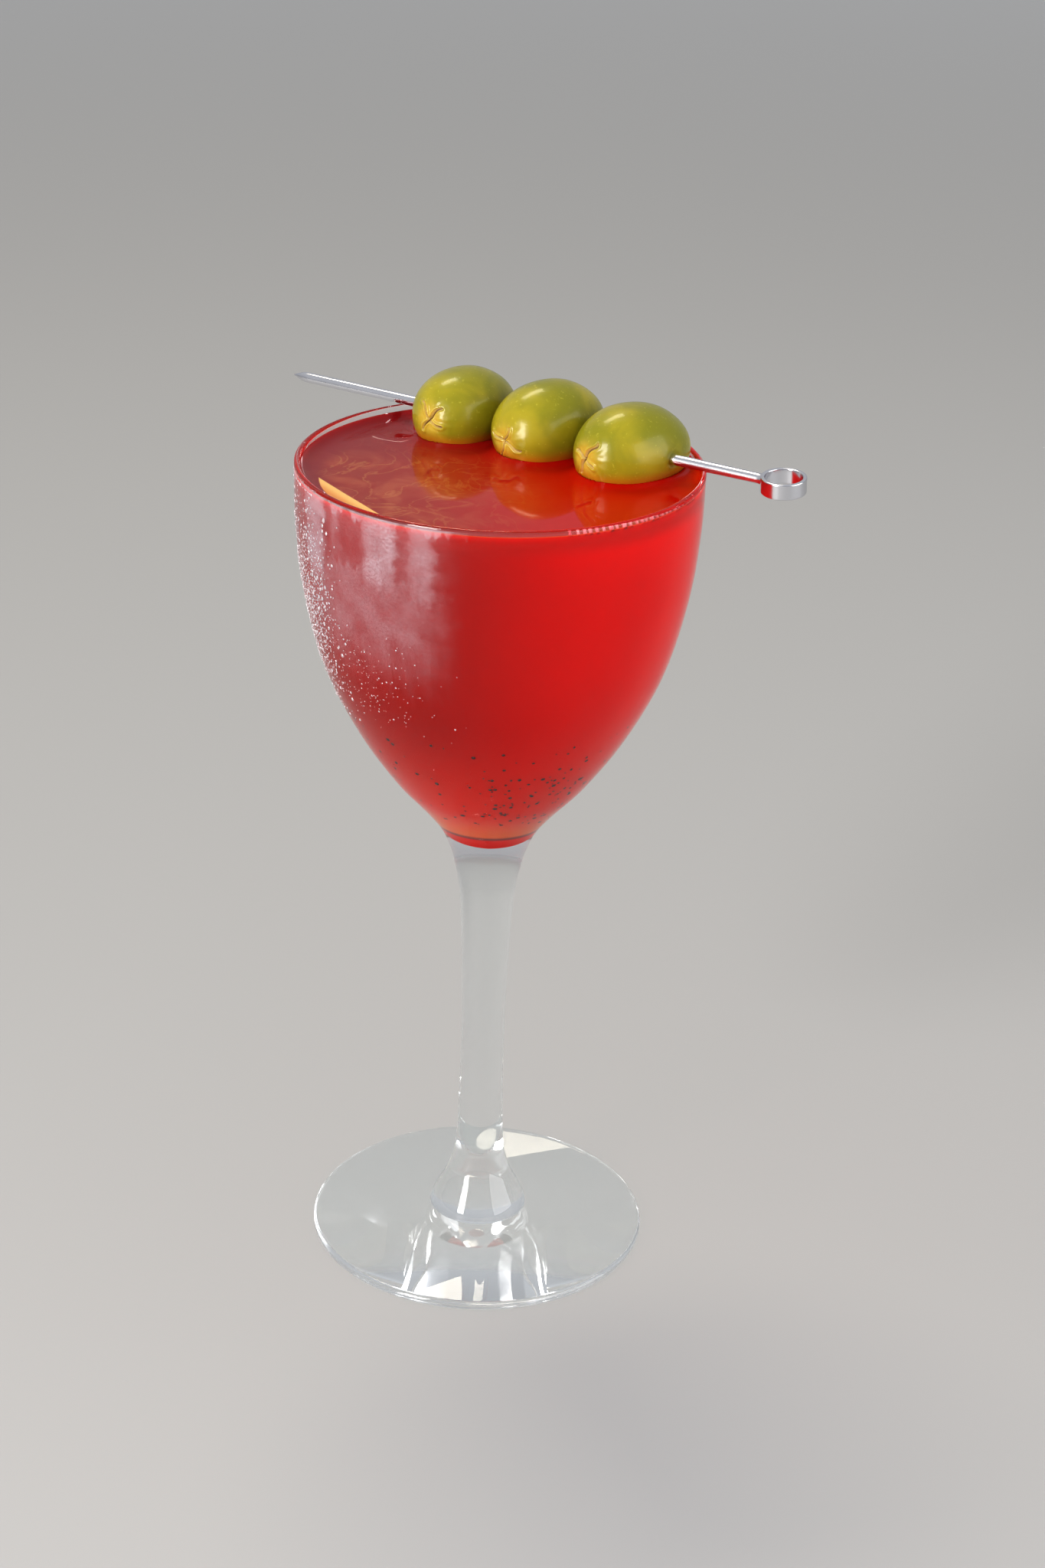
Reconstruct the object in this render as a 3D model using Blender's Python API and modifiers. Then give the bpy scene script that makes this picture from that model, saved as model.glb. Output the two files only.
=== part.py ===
# A small stemmed cocktail glass with an egg-shaped bowl, filled almost to the brim with a cloudy
# red drink, and a steel pick across its rim that carries three pitted green olives.
# Metres, +Z up. The origin is the middle of the foot's underside, and +Y points away from the viewer.
import bpy
import bmesh
import math
from mathutils import Matrix, Vector

MM = 0.001

# Glass: one blown piece of foot, stem and bowl
GLASS_HEIGHT = 152 * MM
FOOT_RADIUS = 31.1 * MM
FOOT_EDGE = 1.8 * MM
RIM_RADIUS = 35.1 * MM
RIM_THICKNESS = 1.0 * MM
TURN_STEPS = 40
EDGE_STEPS = 4

# Outside of the stem and bowl, from the fold above the foot up to the rim: (height, radius)
STEM_OUTSIDE = (
    (4.4, 9.0), (6.2, 8.45), (8.6, 7.3), (12.0, 5.7), (16.5, 4.55), (24.0, 4.2),
    (42.0, 3.97), (58.0, 4.38), (70.0, 5.0), (76.0, 6.05), (80.0, 7.25), (83.5, 8.9),
)
BOWL_OUTSIDE = (
    (87.5, 12.0), (94.0, 17.7), (104.0, 24.4), (116.0, 30.1), (130.0, 33.6), (142.0, 34.9),
)
# Inside of the bowl, from the rounded bottom up: (height, radius)
BOWL_INSIDE = (
    (82.0, 0.0), (82.6, 3.0), (84.4, 6.1), (88.0, 9.9), (94.0, 15.5), (104.0, 22.8),
    (116.0, 28.75), (130.0, 32.45), (142.0, 33.85),
)
CURVE_STEPS = 2

# Drink: level, and how it climbs the wall
LEVEL_BELOW_RIM = 2.5 * MM
MENISCUS_HEIGHT = 1.4 * MM
MENISCUS_WIDTH = 2.6 * MM
MENISCUS_FALL = 1.0 * MM
MENISCUS_STEPS = 4
GAP = 0.3 * MM

# Pick: a round rod with a point at one end and a short tube at the other
PICK_HEADING = math.radians(-31.3)
PICK_OFFSET = 15.3 * MM
PICK_TIP = -53.8 * MM
PICK_RADIUS = 0.95 * MM
PICK_POINT_LENGTH = 3.4 * MM
PICK_POINT_RADIUS = 0.14 * MM
PICK_SIDES = 16
RING_MIDDLE = 46.1 * MM
RING_OUTER_RADIUS = 3.9 * MM
RING_WALL = 0.7 * MM
RING_HEIGHT = 2.8 * MM
RING_EDGE = 0.15 * MM
RING_STEPS = 36
RING_LEAN = math.radians(5)
PICK_HEIGHT = GLASS_HEIGHT + PICK_RADIUS + GAP

# Olives along the pick: place along it, set back from it and above its middle, half length,
# half width, way the cut end faces, its rise, and the turn of the cross cut into it
OLIVES = (
    {"along": -17.3, "back": 0.7, "above": 0.1, "length": 11.3, "width": 8.0,
     "heading": -126, "rise": 5, "twist": 12},
    {"along": -0.5, "back": 1.2, "above": 0.4, "length": 11.2, "width": 8.25,
     "heading": -138, "rise": -3, "twist": 38},
    {"along": 16.9, "back": 0.2, "above": -0.1, "length": 11.5, "width": 8.25,
     "heading": -140, "rise": 3, "twist": 25},
)
OLIVE_SEGMENTS = 32
OLIVE_RINGS = 20
OLIVE_EGG = 0.05
CUT_END_FLAT = 0.9 * MM
CUT_END_RADIUS = 4.2 * MM
CROSS_DEPTH = 0.7 * MM
CROSS_REACH = 3.4 * MM
CROSS_SHARPNESS = 6
PUNCH_DEPTH = 0.8 * MM
PUNCH_RADIUS = 2.2 * MM


def clear_scene():
    for thing in list(bpy.data.objects):
        bpy.data.objects.remove(thing, do_unlink=True)


def new_collection(name):
    collection = bpy.data.collections.new(name)
    bpy.context.scene.collection.children.link(collection)
    return collection


def new_material(name, colour, roughness, metallic=0.0, transmission=0.0):
    material = bpy.data.materials.new(name)
    material.use_nodes = True
    shader = material.node_tree.nodes["Principled BSDF"]
    shader.inputs["Base Color"].default_value = (*colour, 1.0)
    shader.inputs["Roughness"].default_value = roughness
    shader.inputs["Metallic"].default_value = metallic
    shader.inputs["Transmission Weight"].default_value = transmission
    material.diffuse_color = (*colour, 1.0)
    return material


def new_object(name, build_mesh, collection, material=None):
    mesh = bpy.data.meshes.new(name)
    build_mesh.to_mesh(mesh)
    build_mesh.free()
    made = bpy.data.objects.new(name, mesh)
    collection.objects.link(made)
    if material:
        mesh.materials.append(material)
    return made


# Points of a smooth curve through the given ones, which it passes in order
def smooth_curve(stations, steps):
    points = [Vector(station) for station in stations]
    count = len(points)
    tangents = []
    for index in range(count):
        before = points[max(index - 1, 0)]
        after = points[min(index + 1, count - 1)]
        tangents.append((after - before).normalized())
    curve = []
    for index in range(count - 1):
        start = points[index]
        end = points[index + 1]
        span = (end - start).length
        for step in range(steps):
            t = step / steps
            curve.append(start * (2 * t ** 3 - 3 * t ** 2 + 1) + end * (3 * t ** 2 - 2 * t ** 3)
                         + tangents[index] * span * (t ** 3 - 2 * t ** 2 + t)
                         + tangents[index + 1] * span * (t ** 3 - t ** 2))
    curve.append(points[-1])
    return curve


# Stations in millimetres, (height, radius), to points in metres, (radius, height)
def stations_in_metres(stations):
    return [(radius * MM, height * MM) for height, radius in stations]


# The curve moved sideways, to its left as it runs
def offset_curve(curve, distance):
    moved = []
    for index, point in enumerate(curve):
        before = curve[max(index - 1, 0)]
        after = curve[min(index + 1, len(curve) - 1)]
        along = (after - before).normalized()
        moved.append(Vector((max(point.x - along.y * distance, 0.0), point.y + along.x * distance)))
    return moved


def arc(centre, radius, first, last, steps):
    points = []
    for step in range(steps + 1):
        angle = math.radians(first + (last - first) * step / steps)
        points.append(Vector((centre[0] + radius * math.cos(angle), centre[1] + radius * math.sin(angle))))
    return points


# A solid turned about Z from an outline of (radius, height) that starts and ends on the axis,
# or that closes on itself for a ring
def turned(name, outline, steps, collection, material, closed=False):
    profile = bmesh.new()
    corners = [profile.verts.new((point.x, 0.0, point.y)) for point in outline]
    for first, second in zip(corners, corners[1:]):
        profile.edges.new((first, second))
    if closed:
        profile.edges.new((corners[-1], corners[0]))
    made = new_object(name, profile, collection, material)
    screw = made.modifiers.new("turn", "SCREW")
    screw.axis = "Z"
    screw.angle = math.tau
    screw.steps = steps
    screw.render_steps = steps
    screw.use_merge_vertices = True
    screw.merge_threshold = 0.01 * MM
    screw.use_smooth_shade = True
    return made


def bowl_inside():
    rim_inside = GLASS_HEIGHT - RIM_THICKNESS / 2
    stations = stations_in_metres(BOWL_INSIDE) + [(RIM_RADIUS - RIM_THICKNESS, rim_inside)]
    return smooth_curve(stations, CURVE_STEPS)


def make_glass(collection, material):
    half_rim = RIM_THICKNESS / 2
    half_edge = FOOT_EDGE / 2
    rim = arc((RIM_RADIUS - half_rim, GLASS_HEIGHT - half_rim), half_rim, 180, 0, EDGE_STEPS)
    outside_stations = stations_in_metres(STEM_OUTSIDE + BOWL_OUTSIDE)
    outside_stations.append((RIM_RADIUS, GLASS_HEIGHT - half_rim))
    outside = smooth_curve(outside_stations, CURVE_STEPS)
    foot_edge = arc((FOOT_RADIUS - half_edge, half_edge), half_edge, 80, -90, EDGE_STEPS)
    underside_middle = Vector((0.0, 0.0))
    outline = bowl_inside()[:-1] + rim + outside[-2::-1] + foot_edge + [underside_middle]
    return turned("glass", outline, TURN_STEPS, collection, material)


def drink_outline():
    level = GLASS_HEIGHT - LEVEL_BELOW_RIM
    wall = offset_curve(bowl_inside(), GAP)
    top = level + MENISCUS_HEIGHT
    below = [point for point in wall if point.y < level - MENISCUS_HEIGHT]
    lower = below[-1]
    upper = wall[-1]
    share = (top - lower.y) / (upper.y - lower.y)
    edge = lower.lerp(upper, share)
    surface = [Vector((0.0, level))]
    for step in range(MENISCUS_STEPS, 0, -1):
        inward = MENISCUS_WIDTH * step / MENISCUS_STEPS
        rise = MENISCUS_HEIGHT * math.exp(-inward / MENISCUS_FALL)
        surface.append(Vector((edge.x - inward, level + rise)))
    surface[1].y = level
    below[0] = Vector((0.0, below[0].y))
    return surface + [edge] + below[::-1]


# Where a point of the unit sphere lies on an olive whose cut end faces +Z
def olive_point(direction, length, width, twist, relief, grow=0.0):
    polar = math.acos(max(-1.0, min(1.0, direction.z)))
    around = math.atan2(direction.y, direction.x)
    radius = (width + grow) * math.sin(polar) * (1 + OLIVE_EGG * math.cos(polar))
    height = (length + grow) * math.cos(polar)
    if height > 0:
        height -= CUT_END_FLAT * math.exp(-(radius / CUT_END_RADIUS) ** 2)
    if relief and height > 0:
        ray = abs(math.cos(2 * (around - twist))) ** CROSS_SHARPNESS
        if radius < 0.1 * MM:
            ray = 1.0
        height -= CROSS_DEPTH * ray * max(0.0, 1 - (radius / CROSS_REACH) ** 2)
    if relief and height < 0:
        height += PUNCH_DEPTH * max(0.0, 1 - (radius / PUNCH_RADIUS) ** 2)
    return Vector((radius * math.cos(around), radius * math.sin(around), height))


# Along the pick from its middle, across it away from the viewer, and above its middle
def pick_place(along, back=0.0, above=0.0):
    forward = Vector((math.cos(PICK_HEADING), math.sin(PICK_HEADING), 0.0))
    across = Vector((-forward.y, forward.x, 0.0))
    return forward * along + across * (PICK_OFFSET + back) + Vector((0.0, 0.0, PICK_HEIGHT + above))


def olive_matrix(olive):
    place = pick_place(olive["along"] * MM, olive["back"] * MM, olive["above"] * MM)
    turn = Matrix.Rotation(math.radians(olive["heading"]), 4, "Z")
    tip_over = Matrix.Rotation(math.radians(90 - olive["rise"]), 4, "Y")
    return Matrix.Translation(place) @ turn @ tip_over


def olive_body(name, olive, collection, material, relief, grow=0.0):
    body = bmesh.new()
    bmesh.ops.create_uvsphere(body, u_segments=OLIVE_SEGMENTS, v_segments=OLIVE_RINGS, radius=1.0)
    twist = math.radians(olive["twist"])
    for corner in body.verts:
        corner.co = olive_point(corner.co.normalized(), olive["length"] * MM, olive["width"] * MM,
                                twist, relief, grow)
    made = new_object(name, body, collection, material)
    made.matrix_world = olive_matrix(olive)
    made.data.shade_smooth()
    return made


def make_cutter(made):
    made.hide_render = True
    made.display_type = "WIRE"
    return made


def cut(target, cutter):
    boolean = target.modifiers.new("cut_" + cutter.name, "BOOLEAN")
    boolean.operation = "DIFFERENCE"
    boolean.object = cutter
    boolean.solver = "EXACT"


def rod_cutter(collection):
    hole = bmesh.new()
    bmesh.ops.create_cone(hole, cap_ends=True, segments=PICK_SIDES, radius1=PICK_RADIUS + GAP,
                          radius2=PICK_RADIUS + GAP, depth=RING_MIDDLE - PICK_TIP)
    made = new_object("rod_hole", hole, collection)
    made.location = pick_place((PICK_TIP + RING_MIDDLE) / 2)
    made.rotation_euler = (0.0, math.pi / 2, PICK_HEADING)
    return make_cutter(made)


def make_pick(collection, tools, material):
    rod_length = RING_MIDDLE - RING_OUTER_RADIUS + RING_WALL / 2 - PICK_TIP
    outline = [
        Vector((0.0, rod_length)),
        Vector((PICK_POINT_RADIUS, rod_length - PICK_POINT_RADIUS)),
        Vector((PICK_RADIUS, rod_length - PICK_POINT_LENGTH)),
        Vector((PICK_RADIUS, 0.0)),
        Vector((0.0, 0.0)),
    ]
    rod = turned("pick", outline, PICK_SIDES, collection, material)
    rod.matrix_world = (Matrix.Translation(pick_place(PICK_TIP + rod_length))
                        @ Matrix.Rotation(PICK_HEADING, 4, "Z") @ Matrix.Rotation(-math.pi / 2, 4, "Y"))
    inner = RING_OUTER_RADIUS - RING_WALL
    half = RING_HEIGHT / 2
    band = [
        Vector((inner, half - RING_EDGE)),
        Vector((inner + RING_EDGE, half)),
        Vector((RING_OUTER_RADIUS - RING_EDGE, half)),
        Vector((RING_OUTER_RADIUS, half - RING_EDGE)),
        Vector((RING_OUTER_RADIUS, RING_EDGE - half)),
        Vector((RING_OUTER_RADIUS - RING_EDGE, -half)),
        Vector((inner + RING_EDGE, -half)),
        Vector((inner, RING_EDGE - half)),
    ]
    ring = make_cutter(turned("ring_band", band, RING_STEPS, tools, material, closed=True))
    ring.matrix_world = (Matrix.Translation(pick_place(RING_MIDDLE))
                         @ Matrix.Rotation(PICK_HEADING, 4, "Z") @ Matrix.Rotation(RING_LEAN, 4, "X"))
    joined = rod.modifiers.new("ring", "BOOLEAN")
    joined.operation = "UNION"
    joined.object = ring
    joined.solver = "EXACT"
    return rod


def main():
    clear_scene()
    parts = new_collection("olive_cocktail")
    tools = new_collection("cutters")
    clear_glass = new_material("clear_glass", (0.93, 0.96, 0.96), 0.03, transmission=1.0)
    red_drink = new_material("red_drink", (0.72, 0.02, 0.01), 0.12)
    olive_skin = new_material("olive_skin", (0.42, 0.38, 0.05), 0.28)
    polished_steel = new_material("polished_steel", (0.78, 0.78, 0.80), 0.12, metallic=1.0)

    make_glass(parts, clear_glass)
    drink = turned("drink", drink_outline(), TURN_STEPS, parts, red_drink)
    make_pick(parts, tools, polished_steel)
    rod_hole = rod_cutter(tools)
    for number, olive in enumerate(OLIVES, start=1):
        body = olive_body(f"olive_{number}", olive, parts, olive_skin, relief=True)
        cut(body, rod_hole)
        pocket = make_cutter(olive_body(f"pocket_{number}", olive, tools, None, relief=False, grow=GAP))
        cut(drink, pocket)


main()
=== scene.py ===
import math
import random
import bpy
import bmesh
import numpy as np
from mathutils import Euler, Matrix, Vector, noise


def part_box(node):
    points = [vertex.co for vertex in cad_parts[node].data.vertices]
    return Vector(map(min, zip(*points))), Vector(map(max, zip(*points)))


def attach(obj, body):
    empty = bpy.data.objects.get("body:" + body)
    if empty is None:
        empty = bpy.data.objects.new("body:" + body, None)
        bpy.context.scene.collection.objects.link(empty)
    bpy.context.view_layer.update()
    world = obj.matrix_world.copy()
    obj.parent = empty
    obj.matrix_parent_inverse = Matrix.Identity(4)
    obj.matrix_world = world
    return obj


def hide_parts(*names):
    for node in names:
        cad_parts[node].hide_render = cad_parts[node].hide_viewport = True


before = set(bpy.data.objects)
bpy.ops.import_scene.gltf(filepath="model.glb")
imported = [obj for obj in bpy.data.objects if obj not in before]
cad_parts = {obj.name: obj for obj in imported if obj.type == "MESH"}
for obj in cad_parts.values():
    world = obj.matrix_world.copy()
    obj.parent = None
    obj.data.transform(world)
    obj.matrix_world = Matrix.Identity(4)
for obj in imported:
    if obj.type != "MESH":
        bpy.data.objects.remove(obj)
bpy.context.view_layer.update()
print("frame loaded:", ", ".join(sorted(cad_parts)))

mm = 0.001
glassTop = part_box("glass")[1].z
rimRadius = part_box("glass")[1].x
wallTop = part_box("drink")[1].z  # where the drink stops climbing the wall


# Small helpers for curves, meshes and objects

def smoothCurve(stations, steps):
    # a smooth line through the stations, which are (height, radius) in millimetres
    points = [Vector((radius, height)) * mm for height, radius in stations]
    count = len(points)
    tangents = []
    for index in range(count):
        before = points[max(index - 1, 0)]
        after = points[min(index + 1, count - 1)]
        tangents.append((after - before).normalized())
    curve = []
    for index in range(count - 1):
        start, end = points[index], points[index + 1]
        span = (end - start).length
        for step in range(steps):
            t = step / steps
            curve.append(start * (2 * t ** 3 - 3 * t ** 2 + 1) + end * (3 * t ** 2 - 2 * t ** 3)
                         + tangents[index] * span * (t ** 3 - 2 * t ** 2 + t)
                         + tangents[index + 1] * span * (t ** 3 - t ** 2))
    curve.append(points[-1])
    return curve


def arc(centre, radius, first, last, steps):
    angles = [math.radians(first + (last - first) * step / steps) for step in range(steps + 1)]
    return [Vector((centre[0] + radius * math.cos(angle), centre[1] + radius * math.sin(angle)))
            for angle in angles]


def sideways(curve, distance):
    # the same line moved to the right as it runs, so outward on a line that runs up
    moved = []
    for index, point in enumerate(curve):
        before = curve[max(index - 1, 0)]
        after = curve[min(index + 1, len(curve) - 1)]
        along = (after - before).normalized()
        moved.append(Vector((max(point.x + along.y * distance, 0.0), point.y - along.x * distance)))
    return moved


def fall(distance, reach):
    return math.exp(-(distance / reach) ** 2)


def easeIn(value, low, high):
    t = max(0.0, min(1.0, (value - low) / (high - low)))
    return t * t * (3 - 2 * t)


def spunMesh(outline, steps, closed=False, axis=(0, 0, 1), turn=math.tau, begin=0.0):
    # an outline of (radius, height) turned round the axis
    mesh = bmesh.new()
    corners = [mesh.verts.new((point.x, 0.0, point.y)) for point in outline]
    for first, second in zip(corners, corners[1:]):
        mesh.edges.new((first, second))
    if closed:
        mesh.edges.new((corners[-1], corners[0]))
    full = turn > math.tau - 0.001
    if begin:
        bmesh.ops.rotate(mesh, cent=(0, 0, 0), matrix=Matrix.Rotation(begin, 3, "Z"), verts=mesh.verts)
    bmesh.ops.spin(mesh, geom=mesh.verts[:] + mesh.edges[:], cent=(0, 0, 0), axis=axis, angle=turn,
                   steps=steps, use_merge=full, use_duplicate=False)
    bmesh.ops.remove_doubles(mesh, verts=mesh.verts, dist=0.002 * mm)
    bmesh.ops.recalc_face_normals(mesh, faces=mesh.faces)
    return mesh


def makeObject(name, mesh, *materials):
    data = bpy.data.meshes.new(name)
    mesh.to_mesh(data)
    mesh.free()
    data.shade_smooth()
    made = bpy.data.objects.new(name, data)
    bpy.context.scene.collection.objects.link(made)
    for material in materials:
        data.materials.append(material)
    return made


def settle(piece, slot, *nodes):
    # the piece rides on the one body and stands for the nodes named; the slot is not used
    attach(piece, "root")
    if nodes:
        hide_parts(*nodes)
    print(f"{piece.name}: {len(piece.data.polygons)} faces")
    return piece


# Shader helpers: each gives back an output socket

def fill(tree, socket, value):
    if isinstance(value, bpy.types.NodeSocket):
        tree.links.new(value, socket)
    else:
        socket.default_value = value


def sums(tree, operation, first, second=0.0, third=0.0, clamp=False):
    made = tree.nodes.new("ShaderNodeMath")
    made.operation = operation
    made.use_clamp = clamp
    for socket, value in zip(made.inputs, (first, second, third)):
        fill(tree, socket, value)
    return made.outputs[0]


def ease(tree, value, low, high, fromValue=0.0, toValue=1.0):
    made = tree.nodes.new("ShaderNodeMapRange")
    made.interpolation_type = "SMOOTHSTEP"
    fill(tree, made.inputs["Value"], value)
    made.inputs["From Min"].default_value = low
    made.inputs["From Max"].default_value = high
    made.inputs["To Min"].default_value = fromValue
    made.inputs["To Max"].default_value = toValue
    return made.outputs["Result"]


def blendColour(tree, factor, first, second, mode="MIX"):
    made = tree.nodes.new("ShaderNodeMix")
    made.data_type = "RGBA"
    made.blend_type = mode
    fill(tree, made.inputs["Factor"], factor)
    fill(tree, made.inputs["A"], (*first, 1.0) if isinstance(first, tuple) else first)
    fill(tree, made.inputs["B"], (*second, 1.0) if isinstance(second, tuple) else second)
    return made.outputs["Result"]


def place(tree, scale=(1, 1, 1), shift=(0, 0, 0), turn=(0, 0, 0)):
    coordinates = tree.nodes.new("ShaderNodeTexCoord")
    mapping = tree.nodes.new("ShaderNodeMapping")
    mapping.inputs["Scale"].default_value = scale
    mapping.inputs["Location"].default_value = shift
    mapping.inputs["Rotation"].default_value = turn
    tree.links.new(coordinates.outputs["Object"], mapping.inputs["Vector"])
    return mapping.outputs["Vector"]


def parts(tree, vector):
    made = tree.nodes.new("ShaderNodeSeparateXYZ")
    tree.links.new(vector, made.inputs[0])
    return made.outputs


def fromAxis(tree, x, y):
    return sums(tree, "SQRT", sums(tree, "ADD", sums(tree, "MULTIPLY", x, x), sums(tree, "MULTIPLY", y, y)))


def meshValue(tree, name):
    made = tree.nodes.new("ShaderNodeAttribute")
    made.attribute_name = name
    return made.outputs["Fac"]


def bumpNormal(tree, height, distance, strength=1.0):
    made = tree.nodes.new("ShaderNodeBump")
    made.inputs["Strength"].default_value = strength
    made.inputs["Distance"].default_value = distance
    tree.links.new(height, made.inputs["Height"])
    return made.outputs["Normal"]


def makeMottle():
    # cloudy patches: noise pushed between two levels into a soft mask
    group = bpy.data.node_groups.new("mottle", "ShaderNodeTree")
    face = group.interface
    face.new_socket("Vector", in_out="INPUT", socket_type="NodeSocketVector")
    for name, value in (("Scale", 100.0), ("Detail", 4.0), ("Warp", 0.0), ("Low", 0.4), ("High", 0.6)):
        face.new_socket(name, in_out="INPUT", socket_type="NodeSocketFloat").default_value = value
    face.new_socket("Mask", in_out="OUTPUT", socket_type="NodeSocketFloat")
    start = group.nodes.new("NodeGroupInput")
    end = group.nodes.new("NodeGroupOutput")
    grain = group.nodes.new("ShaderNodeTexNoise")
    spread = group.nodes.new("ShaderNodeMapRange")
    spread.interpolation_type = "SMOOTHSTEP"
    for socket, target in (("Vector", grain.inputs["Vector"]), ("Scale", grain.inputs["Scale"]),
                           ("Detail", grain.inputs["Detail"]), ("Warp", grain.inputs["Distortion"]),
                           ("Low", spread.inputs["From Min"]), ("High", spread.inputs["From Max"])):
        group.links.new(start.outputs[socket], target)
    group.links.new(grain.outputs["Fac"], spread.inputs["Value"])
    group.links.new(spread.outputs["Result"], end.inputs["Mask"])
    return group


mottleGroup = makeMottle()


def mottle(tree, vector, scale, low=0.4, high=0.6, detail=4.0, warp=0.0):
    made = tree.nodes.new("ShaderNodeGroup")
    made.node_tree = mottleGroup
    fill(tree, made.inputs["Vector"], vector)
    for name, value in (("Scale", scale), ("Detail", detail), ("Warp", warp), ("Low", low), ("High", high)):
        made.inputs[name].default_value = value
    return made.outputs["Mask"]


def newMaterial(name, **sockets):
    material = bpy.data.materials.new(name)
    material.use_nodes = True
    shader = material.node_tree.nodes["Principled BSDF"]
    for key, value in sockets.items():
        shader.inputs[key.replace("_", " ")].default_value = value
    return material, material.node_tree, shader


# Glass: foot, stem and bowl blown and drawn as one piece

glassLook = {
    "stemOutside": (
        (4.4, 9.0), (6.2, 8.45), (8.6, 7.3), (12.0, 5.7), (16.5, 4.55), (24.0, 4.2),
        (42.0, 3.97), (58.0, 4.38), (70.0, 5.0), (76.0, 6.05), (80.0, 7.25), (83.5, 8.9),
    ),
    "bowlOutside": (
        (87.5, 12.0), (94.0, 17.7), (104.0, 24.4), (116.0, 30.1), (130.0, 33.6), (142.0, 34.9),
    ),
    "bowlInside": (
        (82.0, 0.0), (82.6, 3.0), (84.4, 6.1), (88.0, 9.9), (94.0, 15.5), (104.0, 22.8),
        (116.0, 28.75), (130.0, 32.45), (142.0, 33.85),
    ),
    "rimThickness": 1.0,
    "footRadius": 31.1,
    "footEdge": 1.8,
    "curveSteps": 5,
    "roundSteps": 10,
    "turnSteps": 160,
    "sharpFrom": 50,
    "tint": (0.955, 0.975, 0.98, 1.0),
    "bend": 1.5,
    "gloss": 0.28,
    "shadowTint": (0.97, 0.98, 0.98, 1.0),
}
rimLine = (glassTop / mm - glassLook["rimThickness"] / 2, rimRadius / mm)
insideLine = smoothCurve(
    glassLook["bowlInside"] + ((rimLine[0], rimLine[1] - glassLook["rimThickness"]),),
    glassLook["curveSteps"])
outsideLine = smoothCurve(
    glassLook["stemOutside"] + glassLook["bowlOutside"] + (rimLine,), glassLook["curveSteps"])


def makeGlassMaterial():
    look = glassLook
    material, tree, shader = newMaterial(
        "clearGlass", Base_Color=look["tint"], Roughness=0.0, IOR=look["bend"], Transmission_Weight=1.0,
        Specular_IOR_Level=look["gloss"])
    # soft light passes the wall straight, so that the drink and the floor are lit once, without grain
    path = tree.nodes.new("ShaderNodeLightPath")
    clear = tree.nodes.new("ShaderNodeBsdfTransparent")
    clear.inputs["Color"].default_value = look["shadowTint"]
    mix = tree.nodes.new("ShaderNodeMixShader")
    output = tree.nodes["Material Output"]
    soft = sums(tree, "MAXIMUM", path.outputs["Is Shadow Ray"], path.outputs["Is Diffuse Ray"])
    tree.links.new(soft, mix.inputs["Fac"])
    tree.links.new(shader.outputs["BSDF"], mix.inputs[1])
    tree.links.new(clear.outputs["BSDF"], mix.inputs[2])
    tree.links.new(mix.outputs["Shader"], output.inputs["Surface"])
    return material


def makeGlass():
    look = glassLook
    halfRim = look["rimThickness"] * mm / 2
    halfEdge = look["footEdge"] * mm / 2
    rim = arc((rimRadius - halfRim, glassTop - halfRim), halfRim, 180, 0, look["roundSteps"])
    edge = arc((look["footRadius"] * mm - halfEdge, halfEdge), halfEdge, 80, -90, look["roundSteps"])
    outline = insideLine[:-1] + rim + outsideLine[-2::-1] + edge + [Vector((0.0, 0.0))]
    piece = makeObject("glassVessel", spunMesh(outline, look["turnSteps"]), makeGlassMaterial())
    piece.data.set_sharp_from_angle(angle=math.radians(look["sharpFrom"]))
    return settle(piece, "clear_glass", "glass")


# Olives: three pitted ones, cross-cut at the end that faces the viewer, on a pick that sets their line

pickLook = {
    "heading": -31.3,
    "offset": 15.3,
    "tip": -53.8,
    "radius": 0.95,
    "pointLength": 3.4,
    "pointRadius": 0.14,
    "ringMiddle": 46.1,
    "ringOuter": 3.9,
    "ringWall": 0.7,
    "ringHeight": 2.8,
    "ringEdge": 0.22,
    "ringLean": 5,
    "clearOfRim": 0.3,
    "weldFlare": 0.3,
    "weldLength": 0.9,
    "pointRings": 8,
    "rodRings": 60,
    "weldRings": 6,
    "cornerSteps": 6,
    "rodSteps": 48,
    "ringSteps": 96,
    "sharpFrom": 40,
    "steel": (0.72, 0.72, 0.75, 1.0),
    "roughLow": 0.15,
    "roughSpread": 0.05,
}
pickHeading = math.radians(pickLook["heading"])
pickForward = Vector((math.cos(pickHeading), math.sin(pickHeading), 0.0))
pickAcross = Vector((-pickForward.y, pickForward.x, 0.0))
pickHeight = glassTop + (pickLook["radius"] + pickLook["clearOfRim"]) * mm

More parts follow.
